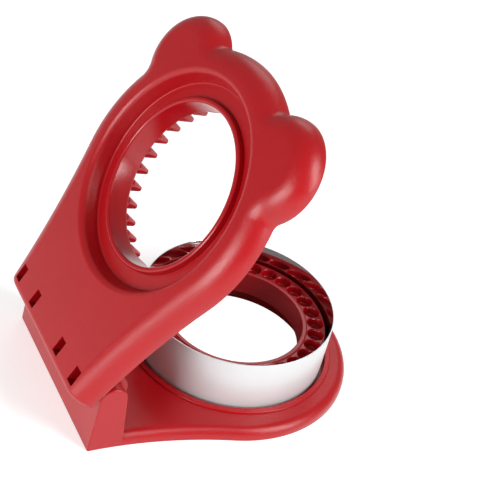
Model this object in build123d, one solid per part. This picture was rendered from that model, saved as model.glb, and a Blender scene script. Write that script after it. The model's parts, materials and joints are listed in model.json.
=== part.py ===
from build123d import *
import math
import os

# Hinged round sandwich cutter and sealer.
# A steel ring stands in the base and cuts the bread, and a lid carries a collar
# of pegs that presses the two slices together over the pockets of the die.
# While the pieces are drawn, the ring's axis is the Z axis, the table is z = 0
# and the hinge lies on the -X side. Sizes are in millimetres.

# Steel cutter ring
ring_radius = 44.0
ring_wall = 0.6
ring_top = 30.0
ring_foot = 2.0

# Crimping pegs of the lid and the pockets that they press into
peg_count = 30
peg_turn = 1.6
peg_circle = 37.7
peg_root_radius = 3.0
peg_tip_radius = 1.1
peg_tip_round = 0.6
peg_length = 6.2
peg_reach = 0.1
pocket_clearance = 1.2
pocket_depth = 3.6

# Crimp die inside the ring
die_top = 20.5
die_bore = 31.3
die_wall = 2.0
die_plate = 5.4
die_skirt_end = 9.0
die_inner_rim = 2.0
die_outer_rim = 0.6
die_channel_depth = 0.4
die_edge_round = 0.4
die_clearance = 1.3

# Base
base_head_radius = 57.8
base_head_set_back = 2.4
base_flank_radius = 200.0
base_rear_half_width = 42.4
base_rear_overhang = 8.0
base_top = 5.6
base_wall = 2.0
base_edge_round = 4.0
base_hole_radius = 38.0
lip_radius = 48.1
lip_rise = 0.9
lip_edge_round = 0.6
moat_width = 1.6
seat_clearance = 0.15
base_rib_width = 1.6
base_rib_rows = 3
base_rib_spacing = 21.0

# Hinge
hinge_reach = 77.2
hinge_height = 27.0
ear_round = 5.9
ear_front_foot = 7.3
ear_thickness = 5.2
ear_edge_round = 0.8
rear_wall_top = 19.5
rear_wall = 2.0
rod_radius = 2.0
rod_clearance = 0.08
rod_socket_depth = 3.4
rod_end_gap = 0.3
knuckle_radius = 8.0
knuckle_inner_end = 11.0
knuckle_side_gap = 0.4

# Lid
lid_open_angle = 59.5
lid_rise = 16.2
lid_skirt_height = 9.9
lid_wall = 2.2
lid_head_radius = 58.8
lid_flank_radius = 330.0
lid_rear_half_width = 41.5
lid_rear_overhang = 7.6
lid_edge_round = 9.2
lid_rear_round = 2.6
lobe_radius = 21.3
lobe_forward = 36.8
lobe_sideways = 38.5
front_notch_round = 2.5
rear_notch_round = 4.3
dish_rim_radius = 47.0
dish_rim_round = 1.8
dish_foot_radius = 42.4
dish_foot_round = 3.6
dish_depth = 6.8
anvil_width = 2.6
anvil_gap = 0.3
gusset_count = 3
gusset_width = 2.0
gusset_length = 24.0

# Windows in the lid over the hinge rod
window_length = 7.3
window_width = 4.4
window_set_back = 0.4
window_rows = (15.05, 32.45)

# Toothed collar of the lid
collar_bore = 34.1
collar_draft = 0.5
collar_neck_wall = 2.9
collar_rim_rise = 2.0
collar_rim_round = 1.0
collar_radius = 41.8
collar_wall = 2.0
collar_plate = 2.2
collar_bevel = 1.8
collar_clearance = 0.1

# Places that should meet are taken as equal within this distance
same_place = 0.01

# Places and radii that follow from the sizes above
base_rear = -hinge_reach - base_rear_overhang
lid_rear = -hinge_reach - lid_rear_overhang
ring_bore = ring_radius - ring_wall
die_radius = ring_bore - die_clearance
upstand_radius = ring_bore - seat_clearance
lip_bore = ring_radius + moat_width
lip_top = base_top + lip_rise
lid_top = hinge_height + lid_rise
skirt_end = lid_top - lid_skirt_height
shelf_top = lid_top - dish_depth
shelf_bottom = shelf_top - lid_wall
peg_tip_height = die_top - peg_reach
collar_bottom = peg_tip_height + peg_length
collar_top = shelf_top + collar_rim_rise
collar_neck = collar_bore + collar_neck_wall
ear_inner = base_rear_half_width - ear_thickness
knuckle_outer_end = ear_inner - knuckle_side_gap
hinge_axis = Axis((-hinge_reach, 0, hinge_height), (0, -1, 0))


def revolved(points):
    """Turn a closed outline of (radius, height) points about the Z axis."""
    face = Plane.XZ * make_face(Polyline(*points, close=True))
    return revolve(face, Axis.Z)


def side_profile(points, y_from, y_to):
    """Extrude a closed outline of (x, z) points along Y between two places."""
    face = Plane.XZ * make_face(Polyline(*points, close=True))
    return extrude(face, amount=y_to - y_from, dir=(0, 1, 0)).moved(Location((0, y_from, 0)))


def hinge_cylinder(radius, y_from, y_to):
    """A cylinder on the hinge axis."""
    start = Plane(origin=(-hinge_reach, y_from, hinge_height), z_dir=(0, 1, 0))
    return extrude(start * Circle(radius), amount=y_to - y_from)


def mirrored_pair(shape):
    """A shape and its mirror image across the centre plane."""
    return shape + mirror(shape, Plane.XZ)


def around(shape, count):
    """Copies of a shape spaced evenly about the Z axis."""
    return [shape.rotate(Axis.Z, 360 * turn / count) for turn in range(count)]


def outline(head_x, head_radius, flank_radius, rear_x, half_width):
    """Round head with hollow flanks that meet it tangentially and run to a straight rear edge."""
    # Everything is drawn about the head's centre and moved into place at the end
    rear_x -= head_x
    reach = math.hypot(rear_x, half_width)
    apex = head_radius + flank_radius
    cosine = (flank_radius**2 + reach**2 - apex**2) / (2 * flank_radius * reach)
    to_centre = math.atan2(-half_width, -rear_x) + math.acos(cosine)
    centre_x = rear_x + flank_radius * math.cos(to_centre)
    centre_y = half_width + flank_radius * math.sin(to_centre)
    touch = (centre_x * head_radius / apex, centre_y * head_radius / apex)
    start_angle = math.atan2(half_width - centre_y, rear_x - centre_x)
    end_angle = math.atan2(touch[1] - centre_y, touch[0] - centre_x)
    middle = (start_angle + end_angle) / 2
    crown_x = centre_x + flank_radius * math.cos(middle)
    crown_y = centre_y + flank_radius * math.sin(middle)
    near = ThreePointArc((rear_x, half_width), (crown_x, crown_y), touch)
    head = ThreePointArc(touch, (head_radius, 0), (touch[0], -touch[1]))
    far = ThreePointArc((touch[0], -touch[1]), (crown_x, -crown_y), (rear_x, -half_width))
    rear = Line((rear_x, -half_width), (rear_x, half_width))
    return make_face(near + head + far + rear).moved(Location((head_x, 0, 0)))


def upper_edges(shape, height, rear_x):
    """Edges at a height, without the straight one along the rear."""
    level = shape.edges().filter_by(lambda edge: abs(edge.center().Z - height) < same_place)
    return level.filter_by(lambda edge: abs(edge.center().X - rear_x) > same_place)


def base_outline():
    """Plan outline of the base."""
    return outline(
        -base_head_set_back, base_head_radius, base_flank_radius, base_rear, base_rear_half_width
    )


def ear_side(foot_reach):
    """Place, from the hinge foot, where a side that starts at the foot meets the round top."""
    distance = math.hypot(foot_reach, hinge_height)
    turn = math.acos(ear_round / distance) - math.atan2(hinge_height, foot_reach)
    return ear_round * math.cos(turn), hinge_height + ear_round * math.sin(turn)


def rear_lean(height):
    """Place along X of the leaning rear face of the ears and the wall at a height."""
    side_x, side_z = ear_side(base_rear_overhang)
    return base_rear + (base_rear_overhang - side_x) * height / side_z


def ear():
    """Upright hinge ear with a rounded top, wider at its foot."""
    front_x, front_z = ear_side(ear_front_foot)
    rear_x, rear_z = ear_side(base_rear_overhang)
    foot = Polyline(
        (front_x - hinge_reach, front_z),
        (ear_front_foot - hinge_reach, 0),
        (base_rear, 0),
        (-rear_x - hinge_reach, rear_z),
    )
    crown = ThreePointArc(foot @ 1, (-hinge_reach, hinge_height + ear_round), foot @ 0)
    face = Plane.XZ * make_face(foot + crown)
    margin = base_head_radius - base_rear_half_width
    block = extrude(face, amount=-(ear_thickness + margin)).moved(Location((0, ear_inner, 0)))
    block = block & extrude(base_outline(), amount=hinge_height + ear_round)
    outer_face = block.faces().sort_by(Axis.Y)[-1]
    rounded = outer_face.edges().filter_by(lambda edge: edge.center().Z > same_place)
    return fillet(rounded, ear_edge_round)


def rear_bracket_wall():
    """Wall along the rear edge that joins the two ears."""
    top_x = rear_lean(rear_wall_top)
    return side_profile([
        (base_rear, 0),
        (base_rear + rear_wall, 0),
        (top_x + rear_wall, rear_wall_top),
        (top_x, rear_wall_top),
    ], -ear_inner, ear_inner)


def base_hollow():
    """Space under the base plate, outside the ring seat, crossed by ribs."""
    inside = offset(base_outline(), amount=-base_wall) - Circle(lip_radius)
    hollow = extrude(inside, amount=base_top - base_wall)
    length = 2 * (hinge_reach + base_rear_overhang)
    for row in range(base_rib_rows):
        y = (row - (base_rib_rows - 1) / 2) * base_rib_spacing
        hollow -= Location((-length / 2, y, base_top / 2)) * Box(length, base_rib_width, base_top)
    foot_width = 2 * (base_rear_overhang + base_wall)
    foot_depth = ear_thickness + 2 * base_wall
    foot = Location((-hinge_reach, ear_inner + ear_thickness / 2, base_top / 2))
    hollow -= mirrored_pair(foot * Box(foot_width, foot_depth, base_top))
    return hollow


def rear_trim():
    """Spare rear strip of the plate: behind the leaning face and where the ears stand."""
    strip = side_profile([
        (base_rear, 0),
        (rear_lean(base_top), base_top),
        (base_rear - base_wall, base_top),
        (base_rear - base_wall, 0),
    ], -base_head_radius, base_head_radius)
    corner_x = base_rear + base_rear_overhang / 2
    corner = Location((corner_x, ear_inner + ear_thickness, base_top / 2))
    corner_box = corner * Box(base_rear_overhang, 2 * ear_thickness, base_top)
    return strip + mirrored_pair(corner_box)


def base_shell():
    """Base plate with its ring seat, lip, round hole, hinge ears and rear wall."""
    plate = extrude(base_outline(), amount=base_top)
    plate = fillet(upper_edges(plate, base_top, base_rear), base_edge_round)
    plate -= base_hollow()
    plate -= rear_trim()
    lip = revolved([(0, 0), (lip_radius, 0), (lip_radius, lip_top), (0, lip_top)])
    rim_edge = lip.edges().filter_by(lambda edge: abs(edge.center().Z - lip_top) < same_place)
    plate += fillet(rim_edge, lip_edge_round)
    plate += mirrored_pair(ear())
    plate += rear_bracket_wall()
    hole = revolved([(0, 0), (base_hole_radius, 0), (base_hole_radius, lip_top), (0, lip_top)])
    moat = revolved([(0, ring_foot), (lip_bore, ring_foot), (lip_bore, lip_top), (0, lip_top)])
    upstand = revolved([(0, 0), (upstand_radius, 0), (upstand_radius, base_top), (0, base_top)])
    plate -= hole + (moat - upstand)
    socket_start = -ear_inner - rod_socket_depth
    through_end = base_head_radius
    return plate - hinge_cylinder(rod_radius + rod_clearance, socket_start, through_end)


def cutter_ring():
    """Thin steel ring that stands in the base."""
    tube = extrude(Circle(ring_radius) - Circle(ring_bore), amount=ring_top - ring_foot)
    return tube.moved(Location((0, 0, ring_foot)))


def at_first_peg(shape):
    """Move a shape from the Z axis to the first peg's place."""
    return shape.moved(Location((peg_circle, 0, 0))).rotate(Axis.Z, peg_turn)


def crimp_die():
    """Ring with pockets in its top that stands inside the steel ring."""
    body = revolved([
        (die_bore, die_skirt_end),
        (die_bore + die_wall, die_skirt_end),
        (die_bore + die_wall, die_top - die_plate),
        (die_radius - die_wall, die_top - die_plate),
        (die_radius - die_wall, base_top),
        (die_radius, base_top),
        (die_radius, die_top),
        (die_bore, die_top),
    ])
    top_edges = body.edges().filter_by(lambda edge: abs(edge.center().Z - die_top) < same_place)
    body = fillet(top_edges, die_edge_round)
    channel_floor = die_top - die_channel_depth
    body -= revolved([
        (die_bore + die_inner_rim, channel_floor),
        (die_radius - die_outer_rim, channel_floor),
        (die_radius - die_outer_rim, die_top),
        (die_bore + die_inner_rim, die_top),
    ])
    floor = peg_tip_radius + pocket_clearance
    mouth = floor + pocket_depth * (peg_root_radius - peg_tip_radius) / peg_length
    bottom = channel_floor - pocket_depth
    pocket = revolved([(0, bottom), (floor, bottom), (mouth, channel_floor), (0, channel_floor)])
    return body - around(at_first_peg(pocket), peg_count)


def crimp_collar():
    """Collar of blunt pegs that fills the lid's round opening."""
    body = revolved([
        (collar_bore, collar_bottom + collar_bevel),
        (collar_bore + collar_bevel, collar_bottom),
        (collar_radius, collar_bottom),
        (collar_radius, shelf_bottom),
        (collar_radius - collar_wall, shelf_bottom),
        (collar_radius - collar_wall, collar_bottom + collar_plate),
        (collar_neck, collar_bottom + collar_plate),
        (collar_neck, collar_top),
        (collar_bore + collar_draft, collar_top),
    ])
    rim_edges = body.edges().filter_by(lambda edge: abs(edge.center().Z - collar_top) < same_place)
    body = fillet(rim_edges, collar_rim_round)
    peg = revolved([
        (0, peg_tip_height),
        (peg_tip_radius, peg_tip_height),
        (peg_root_radius, collar_bottom),
        (peg_root_radius, collar_bottom + collar_bevel),
        (0, collar_bottom + collar_bevel),
    ])
    tip_edge = peg.edges().sort_by(Axis.Z)[0]
    peg = fillet(tip_edge, peg_tip_round)
    return body + around(at_first_peg(peg), peg_count)


def lid_outline():
    """Plan outline of the lid: a round head with two lobes and hollow flanks."""
    plan = outline(0, lid_head_radius, lid_flank_radius, lid_rear, lid_rear_half_width)
    for side in (-1, 1):
        plan += Location((lobe_forward, side * lobe_sideways)) * Circle(lobe_radius)
    lobe_reach = math.hypot(lobe_forward, lobe_sideways)
    lobe_angle = math.atan2(lobe_sideways, lobe_forward)
    along = (lobe_reach**2 + lid_head_radius**2 - lobe_radius**2) / (2 * lobe_reach)
    turn = math.acos(along / lid_head_radius)
    plan = fillet(notch_corners(plan, lobe_angle - turn), front_notch_round)
    return fillet(notch_corners(plan, lobe_angle + turn), rear_notch_round)


def notch_corners(plan, angle):
    """Corners where the lobes leave the round head, at an angle to either side."""
    x = lid_head_radius * math.cos(angle)
    y = lid_head_radius * math.sin(angle)
    return plan.vertices().filter_by(
        lambda corner: math.hypot(corner.X - x, abs(corner.Y) - y) < same_place
    )


def lid_housing():
    """Outer form of the lid with its hollow underside."""
    plan = lid_outline()
    outer = extrude(plan, amount=lid_skirt_height).moved(Location((0, 0, skirt_end)))
    outer = fillet(upper_edges(outer, lid_top, lid_rear), lid_edge_round)
    rear_face = outer.faces().sort_by(Axis.X)[0]
    rear_edges = rear_face.edges().filter_by(lambda edge: edge.center().Z > skirt_end + same_place)
    outer = fillet(rear_edges, lid_rear_round)
    inner_plan = offset(plan, amount=-lid_wall)
    inner = extrude(inner_plan, amount=lid_skirt_height - lid_wall).moved(Location((0, 0, skirt_end)))
    inner_top = lid_top - lid_wall
    inner = fillet(upper_edges(inner, inner_top, lid_rear + lid_wall), lid_edge_round - lid_wall)
    return outer - inner


def dish_tool(grow, floor):
    """Bowl-shaped solid that forms the dish, widened by a wall's thickness."""
    face = make_face(Polyline(
        (0, floor),
        (dish_foot_radius + grow, floor),
        (dish_rim_radius + grow, lid_top),
        (0, lid_top),
        close=True,
    ))
    foot = face.vertices().sort_by_distance((dish_foot_radius + grow, floor, 0))[0]
    face = fillet(foot, dish_foot_round + grow)
    return revolve(Plane.XZ * face, Axis.Z)


def knuckle():
    """Hinge knuckle under the lid with its stiffening gussets, on one side."""
    inner_rear = lid_rear + lid_wall
    ceiling = lid_top - lid_wall
    block = side_profile([
        (inner_rear, hinge_height),
        (knuckle_radius - hinge_reach, hinge_height),
        (knuckle_radius - hinge_reach, ceiling),
        (inner_rear, ceiling),
    ], knuckle_inner_end, knuckle_outer_end)
    block += hinge_cylinder(knuckle_radius, knuckle_inner_end, knuckle_outer_end)
    span = knuckle_outer_end - knuckle_inner_end - gusset_width
    for step in range(gusset_count):
        start = knuckle_inner_end + span * step / (gusset_count - 1)
        block += side_profile([
            (-hinge_reach, ceiling),
            (-hinge_reach, hinge_height),
            (knuckle_radius - hinge_reach, hinge_height),
            (gusset_length - hinge_reach, skirt_end),
            (gusset_length - hinge_reach, ceiling),
        ], start, start + gusset_width)
    return block


def lid_shell():
    """Lid with its dish, round opening, anvil rib, knuckles and windows, drawn closed."""
    housing = lid_housing()
    bowl = dish_tool(lid_wall, shelf_bottom)
    anvil_inner = ring_bore - (anvil_width - ring_wall) / 2
    anvil_bottom = ring_top + anvil_gap
    anvil = revolved([
        (anvil_inner, anvil_bottom),
        (anvil_inner + anvil_width, anvil_bottom),
        (anvil_inner + anvil_width, lid_top - lid_wall),
        (anvil_inner, lid_top - lid_wall),
    ])
    lid = housing + bowl + anvil + mirrored_pair(knuckle())
    lid -= dish_tool(0, shelf_top)
    opening = collar_neck + collar_clearance
    lid -= revolved([(0, shelf_bottom), (opening, shelf_bottom), (opening, shelf_top), (0, shelf_top)])
    rim = lid.edges().filter_by(GeomType.CIRCLE).filter_by(
        lambda edge: abs(edge.radius - dish_rim_radius) + abs(edge.center().Z - lid_top) < same_place
    )
    lid = fillet(rim, dish_rim_round)
    for row in window_rows:
        middle = Location((-hinge_reach - window_set_back, row, hinge_height + lid_rise / 2))
        lid -= mirrored_pair(middle * Box(window_length, window_width, lid_rise))
    return lid - hinge_cylinder(rod_radius + rod_clearance, -ear_inner, ear_inner)


def hinge_rod():
    """Rod on the hinge axis, pushed in from the far ear."""
    blind_end = -ear_inner - rod_socket_depth + rod_end_gap
    return hinge_cylinder(rod_radius, blind_end, base_rear_half_width)


def opened(shape):
    """Swing a piece of the lid from closed to open."""
    return shape.rotate(hinge_axis, lid_open_angle)


pieces = {
    "base_shell": base_shell(),
    "cutter_ring": cutter_ring(),
    "crimp_die": crimp_die(),
    "hinge_rod": hinge_rod(),
    "lid_shell": opened(lid_shell()),
    "crimp_collar": opened(crimp_collar()),
}

# The frame's origin is the middle of the open object's underside.
extent = Compound(children=[Compound(shape.solids()) for shape in pieces.values()]).bounding_box()
to_frame = Location((-(extent.min.X + extent.max.X) / 2, 0, 0))

os.makedirs("parts", exist_ok=True)
for node, shape in pieces.items():
    export_step(Compound(shape.solids()).moved(to_frame), f"parts/{node}.step")
    print(node, len(shape.solids()), round(shape.volume))
print("extent", extent.min, extent.max)
print("ring axis at x", round(to_frame.position.X, 4))
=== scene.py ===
# %% [markdown]
# A round sandwich cutter and sealer, dressed for a product photograph.
#
# The object is six pieces: a red moulded base with two hinge ears, a steel cutter ring that stands in
# it, a red crimp die inside the ring, a red lid that stands open on a hidden rod, and a collar of pegs
# in the lid's round opening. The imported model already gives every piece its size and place, so this
# script is about what a camera sees: the finish of moulded plastic and rolled steel, the soft edges
# of small forms, and the light.

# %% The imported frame
import json
import math

import bpy
import numpy as np
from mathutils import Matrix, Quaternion, Vector


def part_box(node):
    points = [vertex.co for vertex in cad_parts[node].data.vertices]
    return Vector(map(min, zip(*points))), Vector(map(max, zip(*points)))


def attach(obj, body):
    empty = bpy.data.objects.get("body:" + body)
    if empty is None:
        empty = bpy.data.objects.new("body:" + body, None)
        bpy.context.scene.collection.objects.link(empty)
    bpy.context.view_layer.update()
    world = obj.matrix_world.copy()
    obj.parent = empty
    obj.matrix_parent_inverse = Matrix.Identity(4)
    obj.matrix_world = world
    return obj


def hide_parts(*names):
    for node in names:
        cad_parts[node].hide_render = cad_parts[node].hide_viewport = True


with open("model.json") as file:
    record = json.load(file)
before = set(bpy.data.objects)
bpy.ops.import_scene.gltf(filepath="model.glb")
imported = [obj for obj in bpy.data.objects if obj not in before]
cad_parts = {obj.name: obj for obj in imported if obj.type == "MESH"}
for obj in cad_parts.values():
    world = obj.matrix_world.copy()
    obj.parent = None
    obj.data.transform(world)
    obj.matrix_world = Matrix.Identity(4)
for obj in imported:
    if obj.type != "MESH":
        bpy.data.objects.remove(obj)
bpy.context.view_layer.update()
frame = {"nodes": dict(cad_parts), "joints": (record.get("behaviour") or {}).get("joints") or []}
nodes = frame["nodes"]
scene = bpy.context.scene
print("pieces:", ", ".join(sorted(nodes)))

# %% [markdown]
# The ring's axis is the natural middle of this object, but the frame's origin is the middle of the
# open object's underside. The axis is read off the steel ring's box, and the hinge off its joint, so
# every later number can be a size that a maker would know. Those sizes are in millimetres, with the
# lid closed, and Blender's are in metres.

# %% Where the ring and the hinge are
MM = 0.001
ring_low, ring_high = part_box("cutter_ring")
ring_x = (ring_low.x + ring_high.x) / 2
hinge_x, _, hinge_z = frame["joints"][0]["pos_m"]
print(f"ring axis at x = {ring_x / MM:.2f} mm, hinge at x = {hinge_x / MM:.2f} mm")

# %% [markdown]
# The camera looks down from the near left, about 36 degrees above the table, and is rolled 14.6
# degrees, which makes the base run downhill to the right. A medium telephoto lens keeps the
# perspective gentle, as in product photographs. Its place and its target are given from the hinge. A
# turn made from the line of sight is surer than three angles found by hand, and the roll comes last.

# %% Camera
SENSOR_WIDTH = 36.0
FOCAL_LENGTH = 81.8
camera_place = Vector((hinge_x - 0.1581, -0.3257, 0.3483))
camera_target = Vector((hinge_x + 0.0760, 0.0, 0.0580))
camera_roll = math.radians(14.6)


def aim(place, target, roll=0.0):
    """The turn that points an object's -Z axis at a target, then rolls it about that line."""
    towards = (target - place).to_track_quat("-Z", "Y")
    return towards @ Quaternion((0, 0, 1), roll)


camera = bpy.data.objects.new("camera", bpy.data.cameras.new("camera"))
camera.data.lens = FOCAL_LENGTH
camera.data.sensor_width = SENSOR_WIDTH
camera.location = camera_place
camera.rotation_mode = "QUATERNION"
camera.rotation_quaternion = aim(camera_place, camera_target, camera_roll)
scene.collection.objects.link(camera)
scene.camera = camera
scene.view_settings.view_transform = "Standard"
print(f"camera {(camera_target - camera_place).length:.3f} m from its target")

# %% [markdown]
# New surfaces are grids: an array of points with rows and columns, joined into four-sided faces. A
# ring closes in one direction when its section is open, and in both when its section is a loop. A
# grid could also come from Blender's own primitives, but then every point would have to be moved
# afterwards, and here the whole shape is one array.

# %% Grid of points to a mesh


def grid_faces(rows, columns, close_rows, close_columns):
    """Corner numbers of the faces: point (i, j) joins (i, j+1), (i+1, j+1) and (i+1, j)."""
    i, j = np.meshgrid(
        np.arange(rows if close_rows else rows - 1),
        np.arange(columns if close_columns else columns - 1),
        indexing="ij",
    )
    next_i, next_j = (i + 1) % rows, (j + 1) % columns
    corners = [i * columns + j, i * columns + next_j, next_i * columns + next_j, next_i * columns + j]
    return np.stack(corners, axis=-1).reshape(-1, 4)


def new_piece(name, points, faces):
    """A smooth object from points in metres and the corner numbers of its faces, in the scene."""
    mesh = bpy.data.meshes.new(name)
    mesh.from_pydata(points, [], faces)
    mesh.shade_smooth()
    piece = bpy.data.objects.new(name, mesh)
    scene.collection.objects.link(piece)
    print(name, "has", len(mesh.polygons), "faces")
    return piece


# %% [markdown]
# Every round piece here is a section turned about the ring's axis, as on a lathe. Moulded and ground
# parts have no sharp corners, and it is the small arcs that catch the light, so a section is given by
# its corners and their radii. A Bevel modifier would do the same on simple shapes, but it can't give
# each corner its own radius without weights.

# %% Sections and turning
CORNER_STEPS = 6
RING_STEPS = 360


def round_corners(corners, radii):
    """Section with rounded corners.

    A corner P with unit directions a and b towards its neighbours, and radius r, becomes an arc: it
    starts at P + a t with t = r / tan(h), where h is half the corner's angle, and is centred on
    P + (a + b) t / (1 + a.b). Seen from there, and for a turn w from start to end, the point at the
    share s of the turn is (start sin((1 - s) w) + end sin(s w)) / sin(w).
    """
    corners = np.asarray(corners, float)
    back = np.roll(corners, 1, axis=0) - corners
    ahead = np.roll(corners, -1, axis=0) - corners
    a = back / np.linalg.norm(back, axis=1, keepdims=True)
    b = ahead / np.linalg.norm(ahead, axis=1, keepdims=True)
    cosine = (a * b).sum(axis=1, keepdims=True)
    radius = np.asarray(radii, float)[:, None]
    length = radius / np.tan(np.arccos(cosine) / 2)
    centre = corners + (a + b) * length / (1 + cosine)
    start, end = corners + a * length - centre, corners + b * length - centre
    share = np.linspace(0, 1, CORNER_STEPS)[:, None, None]
    sweep = math.pi - np.arccos(cosine)
    arc = (np.sin((1 - share) * sweep) * start + np.sin(share * sweep) * end) / np.sin(sweep)
    return (centre + arc).transpose(1, 0, 2).reshape(-1, 2)


def full_turn(steps):
    """Angles at even steps round a full turn, without the last, which is the first again."""
    return np.linspace(0, 2 * math.pi, steps, endpoint=False)


def revolve_section(section, turns):
    """Points (x, y, z) = (ring_x + r cos t, r sin t, z) of a section (r, z) in mm at the angles t."""
    radius, height = section[:, 0], section[:, 1]
    x = ring_x / MM + np.cos(turns)[:, None] * radius
    y = np.sin(turns)[:, None] * radius
    z = np.broadcast_to(height, x.shape)
    return np.stack([x, y, z], axis=-1)


# %% [markdown]
# The cutter is a strip of 0.6 mm steel, rolled into a ring and ground round at both edges. The ground
# edge is what catches the light along the rim, so the strip gets one. A tube with the Solidify
# modifier would have the wall, but not the ground edges.

# %% Steel ring
RING_RADIUS, RING_WALL = 44.0, 0.6
RING_FOOT, RING_TOP = 2.0, 30.0
GROUND_EDGE = 0.24


def steel_ring():
    """Rectangle of the strip's section with its corners ground round, turned about the ring's axis."""
    inside = RING_RADIUS - RING_WALL
    corners = [
        (inside, RING_FOOT), (inside, RING_TOP), (RING_RADIUS, RING_TOP), (RING_RADIUS, RING_FOOT),
    ]
    section = round_corners(corners, [GROUND_EDGE] * 4)
    points = revolve_section(section, full_turn(RING_STEPS)) * MM
    return new_piece("steel_strip", points.reshape(-1, 3), grid_faces(*points.shape[:2], True, True))


ring_piece = steel_ring()
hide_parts("cutter_ring")
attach(ring_piece, "base")

# %% [markdown]
# The crimp die is a ring whose top has a shallow channel with thirty round pockets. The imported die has
# sharp pockets, and the real one is moulded with soft edges. Cutting pockets with booleans would leave
# those edges hard, so the top is drawn again as a height over two parameters, radius and angle. A
# pocket is a smooth step in the distance d from its centre, and so is each side of the channel in the
# radius.

# %% Sizes of the crimp die
PEG_COUNT = 30
PEG_CIRCLE = 37.7
PEG_TURN = math.radians(1.6)
DIE_BORE, DIE_RADIUS = 31.3, 42.1
DIE_TOP, DIE_FOOT, DIE_SKIRT_END = 20.5, 5.6, 9.0
DIE_WALL, DIE_PLATE = 2.0, 5.4
DIE_TOP_ROUND, DIE_FOOT_ROUND, DIE_SKIRT_ROUND = 0.4, 0.3, 0.4
CHANNEL_INNER, CHANNEL_OUTER = 33.1, 41.6
CHANNEL_DEPTH, CHANNEL_SLOPE = 0.4, 0.5
POCKET_MOUTH, POCKET_FLOOR = 3.95, 2.7
POCKET_DEPTH = 3.6
print(f"{PEG_COUNT} pockets, {2 * math.pi * PEG_CIRCLE / PEG_COUNT:.2f} mm apart")

# %% Height of the die's top


def smooth_step(value, low, high):
    """0 below low, 1 above high, and 3 s^2 - 2 s^3 between, where s runs from 0 to 1."""
    s = np.clip((value - low) / (high - low), 0, 1)
    return s * s * (3 - 2 * s)


def die_height(radius, turn):
    """Height of the die's top in mm.

    z = top - channel depth * c(r) - pocket depth * p(d), with c the channel's two smooth sides and p
    the pocket's smooth step; d is the distance to the nearest pocket centre.
    """
    pitch = 2 * math.pi / PEG_COUNT
    offset = (turn - PEG_TURN + pitch / 2) % pitch - pitch / 2
    distance = np.hypot(radius * np.cos(offset) - PEG_CIRCLE, radius * np.sin(offset))
    channel = smooth_step(radius, CHANNEL_INNER, CHANNEL_INNER + CHANNEL_SLOPE)
    channel = channel - smooth_step(radius, CHANNEL_OUTER - CHANNEL_SLOPE, CHANNEL_OUTER)
    pocket = 1 - smooth_step(distance, POCKET_FLOOR, POCKET_MOUTH)
    return DIE_TOP - CHANNEL_DEPTH * channel - POCKET_DEPTH * pocket


# %% Crimp die
TOP_POINTS = 58
STEPS_PER_PITCH = 28


def crimp_die():
    """Die as one loop of section points, whose top run follows die_height at every angle."""
    plate_under = DIE_TOP - DIE_PLATE
    hidden = [
        (DIE_RADIUS, DIE_TOP), (DIE_RADIUS, DIE_FOOT), (DIE_RADIUS - DIE_WALL, DIE_FOOT),
        (DIE_RADIUS - DIE_WALL, plate_under), (DIE_BORE + DIE_WALL, plate_under),
        (DIE_BORE + DIE_WALL, DIE_SKIRT_END), (DIE_BORE, DIE_SKIRT_END), (DIE_BORE, DIE_TOP),
    ]
    radii = [DIE_TOP_ROUND] + [DIE_FOOT_ROUND] * 4 + [DIE_SKIRT_ROUND] * 2 + [DIE_TOP_ROUND]
    top_radius = np.linspace(DIE_BORE + DIE_TOP_ROUND, DIE_RADIUS - DIE_TOP_ROUND, TOP_POINTS + 2)[1:-1]
    top = np.column_stack([top_radius, np.full(TOP_POINTS, DIE_TOP)])
    section = np.concatenate([round_corners(hidden, radii), top])
    turns = full_turn(PEG_COUNT * STEPS_PER_PITCH)
    points = revolve_section(section, turns)
    points[:, -TOP_POINTS:, 2] = die_height(top_radius[None, :], turns[:, None])
    faces = grid_faces(*points.shape[:2], True, True)
    return new_piece("pocketed_die", points.reshape(-1, 3) * MM, faces)


die_piece = crimp_die()
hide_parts("crimp_die")
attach(die_piece, "base")

# %% [markdown]
# The collar in the lid's opening carries the thirty pegs that press into the pockets. It is drawn with
# the lid closed, straight above the die, because its sizes are plain there, and its points are then
# swung about the hinge to where the lid stands open. Turning the object instead would leave it with a
# turn of its own, and the pattern of its material would turn with it.

# %% Swinging the lid
OPEN_ANGLE = math.radians(59.5)


def swing(points, angle):
    """Points turned about the hinge line: (x, z) from the hinge becomes (x c - z s, x s + z c)."""
    x, z = points[..., 0] - hinge_x, points[..., 2] - hinge_z
    turned = np.array(points)
    turned[..., 0] = hinge_x + x * math.cos(angle) - z * math.sin(angle)
    turned[..., 2] = hinge_z + x * math.sin(angle) + z * math.cos(angle)
    return turned


# %% Body of the collar
COLLAR_BORE, COLLAR_DRAFT = 34.1, 0.5
COLLAR_NECK, COLLAR_RADIUS = 37.0, 41.8
COLLAR_BOTTOM, COLLAR_SHELF, COLLAR_TOP = 26.6, 34.2, 38.4
COLLAR_PLATE, COLLAR_WALL, COLLAR_BEVEL = 2.2, 2.0, 1.8
BEVEL_ROUND, RIM_TOP_ROUND, STEP_ROUND, SHELF_ROUND, COLLAR_FOOT_ROUND = 0.7, 1.1, 0.3, 0.4, 0.5


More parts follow.
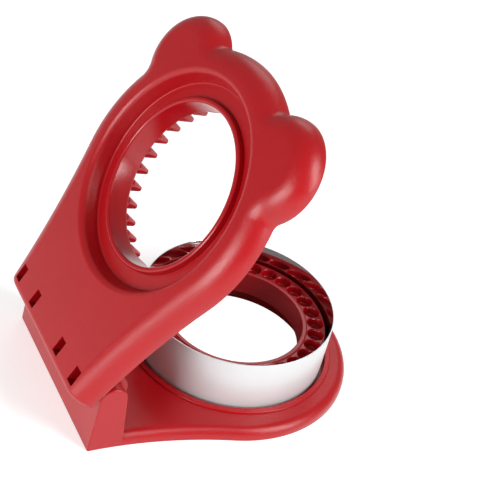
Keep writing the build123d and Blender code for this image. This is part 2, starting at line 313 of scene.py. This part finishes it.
def collar_body():
    """Section of the collar, with its bevelled mouth and rounded rim, turned about the ring's axis."""
    plate_top = COLLAR_BOTTOM + COLLAR_PLATE
    corners = [
        (COLLAR_BORE, COLLAR_BOTTOM + COLLAR_BEVEL), (COLLAR_BORE + COLLAR_DRAFT, COLLAR_TOP),
        (COLLAR_NECK, COLLAR_TOP), (COLLAR_NECK, plate_top),
        (COLLAR_RADIUS - COLLAR_WALL, plate_top), (COLLAR_RADIUS - COLLAR_WALL, COLLAR_SHELF),
        (COLLAR_RADIUS, COLLAR_SHELF), (COLLAR_RADIUS, COLLAR_BOTTOM),
        (COLLAR_BORE + COLLAR_BEVEL, COLLAR_BOTTOM),
    ]
    radii = [BEVEL_ROUND] + [RIM_TOP_ROUND] * 2 + [STEP_ROUND] * 2 + [SHELF_ROUND] * 2
    section = round_corners(corners, radii + [COLLAR_FOOT_ROUND] * 2)
    points = revolve_section(section, full_turn(RING_STEPS))
    return points.reshape(-1, 3), grid_faces(*points.shape[:2], True, True)


# %% Pegs of the collar
PEG_TIP, PEG_TIP_RADIUS, PEG_TIP_ROUND = 20.4, 1.1, 0.7
PEG_ROOT_RADIUS, PEG_ROOT_ROUND = 3.0, 2.0
PEG_INSET, PEG_TOP_ROUND = 0.1, 0.2
PEG_STEPS = 28


def collar_pegs():
    """Thirty blunt cones.

    Point (k, i, j) is peg k's centre (R cos tk, R sin tk) plus the section's radius r(j) at the angle
    i round the peg, at the section's height z(j). A cone's flat top is buried in the collar's plate.
    """
    buried = COLLAR_BOTTOM + COLLAR_BEVEL - PEG_INSET
    corners = [
        (0, buried), (PEG_ROOT_RADIUS, buried), (PEG_ROOT_RADIUS, COLLAR_BOTTOM),
        (PEG_TIP_RADIUS, PEG_TIP), (0, PEG_TIP),
    ]
    section = round_corners(corners, [0.0, PEG_TOP_ROUND, PEG_ROOT_ROUND, PEG_TIP_ROUND, 0.0])
    section = section[CORNER_STEPS - 1 : 1 - CORNER_STEPS]
    around = full_turn(PEG_STEPS)
    places = PEG_TURN + np.arange(PEG_COUNT) * 2 * math.pi / PEG_COUNT
    centre = PEG_CIRCLE * np.stack([np.cos(places), np.sin(places)], axis=-1)
    x = centre[:, 0, None, None] + np.cos(around)[None, :, None] * section[None, None, :, 0]
    y = centre[:, 1, None, None] + np.sin(around)[None, :, None] * section[None, None, :, 0]
    z = np.broadcast_to(section[:, 1], x.shape)
    points = np.stack([x + ring_x / MM, y, z], axis=-1)
    one = grid_faces(len(around), len(section), True, False)
    first = np.arange(PEG_COUNT)[:, None, None] * (len(around) * len(section))
    return points.reshape(-1, 3), (one[None] + first).reshape(-1, 4)


# %% [markdown]
# The middle of a peg's tip is one place, but its grid has a point there for every step round the peg.
# A Weld modifier makes them one, which closes the tip. The body and the pegs are one moulding, so they
# are one piece.

# %% Pegged collar
SAME_POINT = 1e-6

body_points, body_faces = collar_body()
peg_points, peg_faces = collar_pegs()
collar_points = swing(np.concatenate([body_points, peg_points]) * MM, OPEN_ANGLE)
collar_faces = np.concatenate([body_faces, peg_faces + len(body_points)])
collar_piece = new_piece("pegged_collar", collar_points, collar_faces)
collar_piece.modifiers.new("closed tips", "WELD").merge_threshold = SAME_POINT
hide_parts("crimp_collar")
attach(collar_piece, "lid")

# %% [markdown]
# The lid's dish has a rolled rim, a steep wall and a tight crease at its foot, which is what gives the
# lid its deep red ring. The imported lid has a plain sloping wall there. The whole lid could be drawn
# again, but its outline, windows and knuckles are right. So the lid's triangles are copied, those of
# the dish are left out, and a new dish is revolved between the two round edges that stay. Its first
# ring of points is the lid's own edge, so the two fit exactly, and its last ring is joined to the edge
# of the round opening by triangles. Sizes that begin with PACKED belong to the dish that is left out.

# %% Sizes of the dish
LID_TOP, LID_WALL, LID_OPENING, DISH_EDGE = 43.2, 2.2, 37.1, 47.96
PACKED_SHELF, PACKED_FOOT, PACKED_MOUTH = 36.4, 42.4, 47.0
RIM_ROUND, FOOT_ROUND = 2.9, 0.8
WALL_LEAN = math.radians(16)
SHELF_TOP = 35.7
print(f"dish {LID_TOP - SHELF_TOP:.1f} mm deep, {2 * DISH_EDGE:.1f} mm across")

# %% [markdown]
# Half of the section is enough, because it is turned. The rim and the foot are arcs that the straight
# wall meets without a corner. The shelf stops NEAR the opening, and the band of triangles covers the
# rest. NEAR and HAIR are in millimetres: a point that close to a radius or a height counts as on it.

# %% Section of the dish
RIM_STEPS, FOOT_STEPS, SHELF_STEPS = 12, 8, 8
NEAR, HAIR = 0.05, 0.01


def arc_points(centre, radius, angles):
    """Points (x, z) = centre + radius (cos a, sin a) at the angles a."""
    return np.asarray(centre) + radius * np.column_stack([np.cos(angles), np.sin(angles)])


def dish_section():
    """Half section (r, z): an arc for the rim, a straight wall to an arc at its foot, then the shelf."""
    roll = np.linspace(math.pi / 2, math.pi - WALL_LEAN, RIM_STEPS)
    rim = arc_points((DISH_EDGE, LID_TOP - RIM_ROUND), RIM_ROUND, roll)
    wall_end = SHELF_TOP + FOOT_ROUND * (1 - math.sin(WALL_LEAN))
    wall_foot = rim[-1, 0] - (rim[-1, 1] - wall_end) * math.tan(WALL_LEAN)
    foot_centre = (wall_foot - FOOT_ROUND * math.cos(WALL_LEAN), SHELF_TOP + FOOT_ROUND)
    foot = arc_points(foot_centre, FOOT_ROUND, np.linspace(-WALL_LEAN, -math.pi / 2, FOOT_STEPS))
    shelf = np.linspace(foot[-1, 0], LID_OPENING + NEAR, SHELF_STEPS + 1)[1:]
    return np.concatenate([rim, foot, np.column_stack([shelf, np.full(SHELF_STEPS, SHELF_TOP)])])


# %% [markdown]
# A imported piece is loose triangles, and each has its own three points. To find edges, points at the
# same place are made one, by rounding them to a hair and keeping each place once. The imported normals
# are kept as well, because they are exact on the curved CAD faces.

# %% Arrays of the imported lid
ROUNDING = 1e-7


def node_arrays(mesh):
    """Merged points, triangles on them, and the three corner normals of each triangle, as arrays."""
    points = np.empty(len(mesh.vertices) * 3)
    mesh.vertices.foreach_get("co", points)
    corners = np.empty(len(mesh.loops), int)
    mesh.loops.foreach_get("vertex_index", corners)
    normals = np.empty(len(mesh.loops) * 3)
    mesh.corner_normals.foreach_get("vector", normals)
    points = points.reshape(-1, 3)
    keys = np.round(points / ROUNDING).astype(np.int64)
    _, first, merged = np.unique(keys, axis=0, return_index=True, return_inverse=True)
    triangles = merged.reshape(-1)[corners].reshape(-1, 3)
    return points[first], triangles, normals.reshape(-1, 3, 3)


def ring_places(points):
    """Radius from the ring's axis and height in mm, and angle, of points once the lid is closed."""
    closed = swing(points, -OPEN_ANGLE) / MM
    x = closed[:, 0] - ring_x / MM
    return np.hypot(x, closed[:, 1]), closed[:, 2], np.arctan2(closed[:, 1], x)


# %% Joining two rings of unlike points


def zip_rings(outer, inner):
    """Triangles between two rings given by their points' angles, in order.

    Each side of a ring is joined to the point of the other ring that comes last before the side's end.
    """
    count_out, count_in = len(outer), len(inner)
    i, j = np.arange(count_out), np.arange(count_in)
    all_outer = np.concatenate([outer, outer + 2 * math.pi])
    all_inner = np.concatenate([inner, inner + 2 * math.pi])
    met_inner = (np.searchsorted(all_inner, all_outer[i + 1], side="left") - 1) % count_in
    met_outer = (np.searchsorted(all_outer, all_inner[j + 1], side="right") - 1) % count_out
    over = np.stack([i, (i + 1) % count_out, met_inner + count_out], axis=-1)
    under = np.stack([(j + 1) % count_in + count_out, j + count_out, met_outer], axis=-1)
    return np.concatenate([over, under])


# %% [markdown]
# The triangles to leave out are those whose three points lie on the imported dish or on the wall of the
# round opening. Measured with the lid closed, both are simple to name: the dish is what lies from the
# shelf upwards and inside its sloping wall, and the opening's wall is what lies at its radius.

# %% Lid without its packed dish
WALL_MARGIN = 1.0


def lid_without_dish():
    """The lid's points, its triangles and normals less the dish's, and the two edges left open."""
    points, triangles, normals = node_arrays(nodes["lid_shell"].data)
    radius, height, turn = ring_places(points)
    lean = (PACKED_MOUTH - PACKED_FOOT) / (LID_TOP - PACKED_SHELF)
    wall = PACKED_FOOT + (height - PACKED_SHELF) * lean
    dish = (height > PACKED_SHELF - HAIR) & (radius < DISH_EDGE + HAIR) & (radius < wall + WALL_MARGIN)
    opening = (height > PACKED_SHELF - LID_WALL - NEAR) & (radius < LID_OPENING + NEAR)
    taken = (dish | opening) & (radius > LID_OPENING - NEAR)
    keep = ~taken[triangles].all(axis=1)
    print("triangles of the dish left out:", int((~keep).sum()))
    triangles, normals = triangles[keep], normals[keep]
    used = np.zeros(len(points), bool)
    used[triangles] = True
    at_edge = (np.abs(radius - DISH_EDGE) < NEAR) & (np.abs(height - LID_TOP) < HAIR)
    at_opening = (np.abs(radius - LID_OPENING) < NEAR) & (height < PACKED_SHELF - LID_WALL / 2)
    edge, hole = np.flatnonzero(used & at_edge), np.flatnonzero(used & at_opening)
    edge, hole = edge[np.argsort(turn[edge])], hole[np.argsort(turn[hole])]
    return points, triangles, normals, turn, edge, hole


# %% [markdown]
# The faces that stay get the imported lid's own corner normals, so they shade as they did. The new faces
# come after them, and a custom normal of zero leaves a corner with the normal that Blender works out.

# %% Lid with its dish drawn again
SHARP_ANGLE = math.radians(40)


def dished_lid():
    """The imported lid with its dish's triangles replaced by rings of points that follow dish_section."""
    points, triangles, normals, turn, edge, hole = lid_without_dish()
    rings = swing(revolve_section(dish_section(), turn[edge]) * MM, OPEN_ANGLE)
    number = len(points) + np.arange(rings.shape[0] * rings.shape[1]).reshape(rings.shape[:2])
    number[:, 0] = edge
    quads = number.reshape(-1)[grid_faces(*number.shape, True, False)[:, ::-1]]
    joined = np.concatenate([number[:, -1], hole])[zip_rings(turn[edge], turn[hole])]
    points = np.concatenate([points, rings.reshape(-1, 3)])
    corners = np.concatenate([triangles.reshape(-1), quads.reshape(-1), joined.reshape(-1)])
    used, corners = np.unique(corners, return_inverse=True)
    first_quad, first_joined = triangles.size, triangles.size + quads.size
    faces = corners[:first_quad].reshape(-1, 3).tolist()
    faces += corners[first_quad:first_joined].reshape(-1, 4).tolist()
    faces += corners[first_joined:].reshape(-1, 3).tolist()
    piece = new_piece("dished_lid", points[used], faces)
    piece.data.set_sharp_from_angle(angle=SHARP_ANGLE)
    custom = np.zeros((len(piece.data.loops), 3))
    custom[: normals.size // 3] = normals.reshape(-1, 3)
    piece.data.normals_split_custom_set(custom.tolist())
    return piece


lid_piece = dished_lid()
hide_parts("lid_shell")
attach(lid_piece, "lid")

# %% [markdown]
# Materials are written in linear colour. A small helper turns the 0 to 255 values that one reads off a
# swatch into linear ones. The others set up an empty node material, add a node with its settings, add
# a sum, and give a pattern the ring's axis as its middle, which the frame's origin is not.

# %% Helpers for materials


def linear(red, green, blue):
    """Linear colour of an 8-bit swatch, by the sRGB curve."""
    swatch = np.array([red, green, blue]) / 255.0
    curved = np.where(swatch <= 0.04045, swatch / 12.92, ((swatch + 0.055) / 1.055) ** 2.4)
    return (*curved.tolist(), 1.0)


def new_material(name):
    """An empty node material with its output and a Principled shader joined up."""
    material = bpy.data.materials.new(name)
    material.use_nodes = True
    tree = material.node_tree
    tree.nodes.clear()
    output = tree.nodes.new("ShaderNodeOutputMaterial")
    shader = tree.nodes.new("ShaderNodeBsdfPrincipled")
    tree.links.new(shader.outputs["BSDF"], output.inputs["Surface"])
    return material, tree, shader


def add_node(tree, kind, **settings):
    """A node with its settings: names with a capital are input sockets, the others are properties."""
    node = tree.nodes.new(kind)
    for name, value in settings.items():
        if name[0].isupper():
            node.inputs[name.replace("_", " ")].default_value = value
        else:
            setattr(node, name, value)
    return node


def math_node(tree, operation, *values):
    """A maths node whose inputs are numbers or other nodes' outputs; returns its output."""
    node = add_node(tree, "ShaderNodeMath", operation=operation)
    for slot, value in zip(node.inputs, values):
        if isinstance(value, (int, float)):
            slot.default_value = value
        else:
            tree.links.new(value, slot)
    return node.outputs[0]


def from_ring_axis(tree):
    """Object coordinates with the ring's axis at their middle."""
    centre = add_node(tree, "ShaderNodeMapping", Location=(-ring_x, 0.0, 0.0))
    tree.links.new(tree.nodes.new("ShaderNodeTexCoord").outputs["Object"], centre.inputs["Vector"])
    return centre.outputs[0]


# %% [markdown]
# The red plastic is a satin injection moulding. Its mould was lightly blasted, which leaves a fine
# grain that breaks up highlights, and the flow of the melt leaves very faint cloudy changes of tone.
# Both could be painted, but noise in Object coordinates has no seams and needs no picture. The effects
# are in one node group, so that every red piece shares them.

# %% Moulded plastic group
FINE_GRAIN, COARSE_GRAIN, CLOUD = 0.00045, 0.0011, 0.028
COARSE_SHARE = 0.6
ROUGHNESS_SPREAD = 0.1


def moulded_group():
    """Grain height, roughness and tone of a blasted mould, from Object coordinates in metres.

    Height is fine + share * coarse, and roughness is base + spread * (coarse - 0.5).
    """
    group = bpy.data.node_groups.new("moulded finish", "ShaderNodeTree")
    face = group.interface
    face.new_socket("Base Roughness", in_out="INPUT", socket_type="NodeSocketFloat")
    for name in ("Tone", "Roughness", "Height"):
        face.new_socket(name, in_out="OUTPUT", socket_type="NodeSocketFloat")
    base = group.nodes.new("NodeGroupInput").outputs["Base Roughness"]
    outputs = group.nodes.new("NodeGroupOutput")
    place = group.nodes.new("ShaderNodeTexCoord").outputs["Object"]
    fine, coarse, cloud = (
        add_node(group, "ShaderNodeTexNoise", Scale=1 / size, Detail=3.0, Roughness=0.6)
        for size in (FINE_GRAIN, COARSE_GRAIN, CLOUD)
    )
    for texture in (fine, coarse, cloud):
        group.links.new(place, texture.inputs["Vector"])
    height = math_node(group, "MULTIPLY_ADD", coarse.outputs["Fac"], COARSE_SHARE, fine.outputs["Fac"])
    group.links.new(height, outputs.inputs["Height"])
    centred = math_node(group, "SUBTRACT", coarse.outputs["Fac"], 0.5)
    rough = math_node(group, "MULTIPLY_ADD", centred, ROUGHNESS_SPREAD, base)
    group.links.new(rough, outputs.inputs["Roughness"])
    group.links.new(cloud.outputs["Fac"], outputs.inputs["Tone"])
    return group


moulded = moulded_group()
print("group", moulded.name, "has", len(moulded.nodes), "nodes")

# %% [markdown]
# Two reds use the group. The base and the lid are satin, with the grain. The die, the collar and the
# rod come from polished moulds, so they are smoother and glossier, and their grain is faint.

# %% Red plastic
GRAIN_DEPTH = 0.00015


def red_plastic(name, deep, bright, roughness, grain):
    """Red moulding: tone runs between a deep and a bright red, with the mould's grain as bump."""
    material, tree, shader = new_material(name)
    finish = tree.nodes.new("ShaderNodeGroup")
    finish.node_tree = moulded
    finish.inputs["Base Roughness"].default_value = roughness
    tone = add_node(tree, "ShaderNodeMix", data_type="RGBA")
    tone.inputs["A"].default_value = deep
    tone.inputs["B"].default_value = bright
    tree.links.new(finish.outputs["Tone"], tone.inputs["Factor"])
    tree.links.new(tone.outputs["Result"], shader.inputs["Base Color"])
    tree.links.new(finish.outputs["Roughness"], shader.inputs["Roughness"])
    bump = add_node(tree, "ShaderNodeBump", Strength=grain, Distance=GRAIN_DEPTH)
    tree.links.new(finish.outputs["Height"], bump.inputs["Height"])
    tree.links.new(bump.outputs["Normal"], shader.inputs["Normal"])
    print(name, "has roughness", roughness)
    return material


shell_red = red_plastic(
    "shell red", deep=linear(170, 6, 16), bright=linear(180, 12, 22), roughness=0.30, grain=0.55
)
insert_red = red_plastic(
    "insert red", deep=linear(168, 6, 18), bright=linear(178, 12, 24), roughness=0.22, grain=0.15
)

# %% [markdown]
# The cutter's outside is satin and its inside is as bright as it came from the rolling mill, so it
# mirrors the die. Rolling leaves very fine lines that run along the strip, so round the ring. They are
# noise that changes quickly with height and slowly with the angle about the ring's axis. Anisotropy
# would stretch the highlight as well, but it needs a tangent on the mesh, and these lines need none.
# A full metal would take all its colour from the red base around it. The fine scratches of a satin
# finish scatter light as well, so the outside is mostly a pale diffuse grey with a part of metal in it.

# %% Rolled steel
INSIDE_ROUGHNESS, OUTSIDE_ROUGHNESS, LINE_ROUGHNESS = 0.03, 0.33, 0.08
OUTSIDE_METAL = 0.22
LINE_STRETCH, LINE_DEPTH = 2500.0, 0.00002


def rolling_lines(tree, place):
    """Distance sqrt(x^2 + y^2) from the ring's axis, and noise over (angle, stretch * height)."""
    split = tree.nodes.new("ShaderNodeSeparateXYZ")
    tree.links.new(place, split.inputs[0])
    x, y, z = split.outputs
    reach = math_node(tree, "MULTIPLY_ADD", y, y, math_node(tree, "MULTIPLY", x, x))
    join = tree.nodes.new("ShaderNodeCombineXYZ")
    tree.links.new(math_node(tree, "ARCTAN2", y, x), join.inputs["X"])
    tree.links.new(math_node(tree, "MULTIPLY", z, LINE_STRETCH), join.inputs["Y"])
    lines = add_node(tree, "ShaderNodeTexNoise", Scale=2.0, Detail=4.0, Roughness=0.6)
    tree.links.new(join.outputs[0], lines.inputs["Vector"])
    return math_node(tree, "SQRT", reach), lines.outputs["Fac"]


def rolled_steel(name):
    """Strip steel, satin outside and bright inside: a step at the wall's middle radius parts them."""
    material, tree, shader = new_material(name)
    reach, lines = rolling_lines(tree, from_ring_axis(tree))
    outside = math_node(tree, "GREATER_THAN", reach, (RING_RADIUS - RING_WALL / 2) * MM)
    added = OUTSIDE_ROUGHNESS - INSIDE_ROUGHNESS
    base = math_node(tree, "MULTIPLY_ADD", outside, added, INSIDE_ROUGHNESS)
    rough = math_node(tree, "MULTIPLY_ADD", lines, LINE_ROUGHNESS, base)
    tree.links.new(rough, shader.inputs["Roughness"])
    metal = math_node(tree, "MULTIPLY_ADD", outside, OUTSIDE_METAL - 1.0, 1.0)
    tree.links.new(metal, shader.inputs["Metallic"])
    bump = add_node(tree, "ShaderNodeBump", Strength=0.08, Distance=LINE_DEPTH)
    tree.links.new(lines, bump.inputs["Height"])
    tree.links.new(bump.outputs["Normal"], shader.inputs["Normal"])
    shader.inputs["Base Color"].default_value = linear(220, 222, 223)
    return material


ring_steel = rolled_steel("rolled steel")
print(ring_steel.name, "has", len(ring_steel.node_tree.nodes), "nodes")

# %% [markdown]
# Each piece gets one material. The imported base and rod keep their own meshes, and the four new pieces
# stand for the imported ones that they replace.

# %% Materials on the pieces
finishes = {
    nodes["base_shell"]: shell_red,
    lid_piece: shell_red,
    nodes["hinge_rod"]: insert_red,
    die_piece: insert_red,
    collar_piece: insert_red,
    ring_piece: ring_steel,
}
for piece, material in finishes.items():
    piece.data.materials.clear()
    piece.data.materials.append(material)
    print(piece.name, "is", material.name)

# %% [markdown]
# The studio is a white table under an even, dim light from all round. That light alone would be flat,
# so three soft panels draw the forms. The left one is long and low: it lights the lid, and gives the
# long highlights along its rounded edges. The front one is tall and narrow: it lights the base, the
# ring, the die and the pegs, and gives the highlight along the base's near edge. The back one is weak,
# and gives a sheen to the base's flat top and to the crests between the pockets. The camera sees the
# world as white.

# %% World


def soft_world(brightness):
    """An even grey world that the camera sees as a white backdrop."""
    world = bpy.data.worlds.new("studio")
    scene.world = world
    world.use_nodes = True
    tree = world.node_tree
    tree.nodes.clear()
    output = tree.nodes.new("ShaderNodeOutputWorld")
    path = tree.nodes.new("ShaderNodeLightPath")
    light = add_node(tree, "ShaderNodeBackground", Color=(1, 1, 1, 1), Strength=brightness)
    seen = add_node(tree, "ShaderNodeBackground", Color=(1, 1, 1, 1), Strength=1.0)
    choose = tree.nodes.new("ShaderNodeMixShader")
    tree.links.new(path.outputs["Is Camera Ray"], choose.inputs[0])
    tree.links.new(light.outputs[0], choose.inputs[1])
    tree.links.new(seen.outputs[0], choose.inputs[2])
    tree.links.new(choose.outputs[0], output.inputs["Surface"])
    print("world brightness", brightness)


soft_world(brightness=0.31)

# %% Panels
PANEL_DISTANCE = 0.9


def soft_panel(name, direction, width, height, radiance):
    """A rectangular area lamp that stands in a direction from the object and faces it.

    Its power is radiance * pi * area, so that it looks equally bright at any size.
    """
    lamp = bpy.data.lights.new(name, "AREA")
    lamp.shape = "RECTANGLE"
    lamp.size, lamp.size_y = width, height
    lamp.energy = radiance * math.pi * width * height
    panel = bpy.data.objects.new(name, lamp)
    panel.location = camera_target + Vector(direction).normalized() * PANEL_DISTANCE
    panel.rotation_mode = "QUATERNION"
    panel.rotation_quaternion = aim(panel.location, camera_target)
    scene.collection.objects.link(panel)
    print(f"{name}: {lamp.energy:.2f} W")


soft_panel("left panel", (-0.93, -0.31, 0.22), width=0.50, height=0.24, radiance=13.5)
soft_panel("front panel", (0.42, -0.72, 0.50), width=0.26, height=0.80, radiance=10.5)
soft_panel("back panel", (0.47, 0.66, 0.59), width=0.40, height=0.40, radiance=1.6)

# %% [markdown]
# The floor is a matt white sheet. The camera sees the light that falls on it plus a lift, so it is
# white away from the object and keeps a soft shadow beside it. Far away, where the lamps don't reach,
# and inside the ring's hole, where the deep walls take the light, the lift grows until the sheet is
# white. In reflections the sheet outside the hole has the same lift, so that the gloss shows a pale
# table. In the hole the sheet's colour is a grey of painted shade, which stands for the shade of the
# deep ring and keeps the die's wall a deep red. More lamps would whiten the floor too, but they would
# bleach the object.

# %% Floor
FLOOR_HALF, FLOOR_GAP = 1.5, 0.0002
HOLE_RADIUS, HOLE_BLUR = 0.038, 0.002
NEAR_FLOOR, FAR_FLOOR = 0.25, 0.8
# The grey inside the hole is painted shade: it stands for the shade that the deep ring casts on the
# table.
HOLE_PAINTED_SHADE, SHEET_WHITE = (0.40, 0.40, 0.40, 1), (0.86, 0.86, 0.86, 1)


def floor_sheet(lift):
    """Matt white, whose emission is g for the camera and lift * m for glossy rays.

    m is 0 inside the hole and 1 outside, f rises from 0 near the object to 1 far away, and
    g = 1 + (m - f) (lift - 1).
    """
    material, tree, shader = new_material("floor sheet")
    shader.inputs["Roughness"].default_value = 0.9
    shader.inputs["Specular IOR Level"].default_value = 0.1
    reach = add_node(tree, "ShaderNodeVectorMath", operation="LENGTH")
    tree.links.new(from_ring_axis(tree), reach.inputs[0])
    hole_edge = HOLE_RADIUS + HOLE_BLUR
    open_floor = add_node(tree, "ShaderNodeMapRange", From_Min=HOLE_RADIUS, From_Max=hole_edge)
    far_floor = add_node(tree, "ShaderNodeMapRange", From_Min=NEAR_FLOOR, From_Max=FAR_FLOOR)
    for distance in (open_floor, far_floor):
        tree.links.new(reach.outputs["Value"], distance.inputs["Value"])
    # The sheet's colour is white outside the hole and painted shade inside it.
    sheet = add_node(tree, "ShaderNodeMix", data_type="RGBA")
    sheet.inputs["A"].default_value = HOLE_PAINTED_SHADE
    sheet.inputs["B"].default_value = SHEET_WHITE
    tree.links.new(open_floor.outputs[0], sheet.inputs["Factor"])
    tree.links.new(sheet.outputs["Result"], shader.inputs["Base Color"])
    path = tree.nodes.new("ShaderNodeLightPath")
    near = math_node(tree, "SUBTRACT", open_floor.outputs[0], far_floor.outputs[0])
    glow = math_node(tree, "MULTIPLY_ADD", near, lift - 1.0, 1.0)
    outer = math_node(tree, "MULTIPLY", open_floor.outputs[0], lift)
    mirrored = math_node(tree, "MULTIPLY", path.outputs["Is Glossy Ray"], outer)
    seen = math_node(tree, "MULTIPLY_ADD", glow, path.outputs["Is Camera Ray"], mirrored)
    shader.inputs["Emission Color"].default_value = (1, 1, 1, 1)
    tree.links.new(seen, shader.inputs["Emission Strength"])
    return material


floor_corners = FLOOR_HALF * np.array([[-1, -1], [1, -1], [1, 1], [-1, 1]])
floor_points = np.column_stack([floor_corners, np.full(4, -FLOOR_GAP)])
floor = new_piece("floor", floor_points, [(0, 1, 2, 3)])
floor.data.materials.append(floor_sheet(lift=0.46))
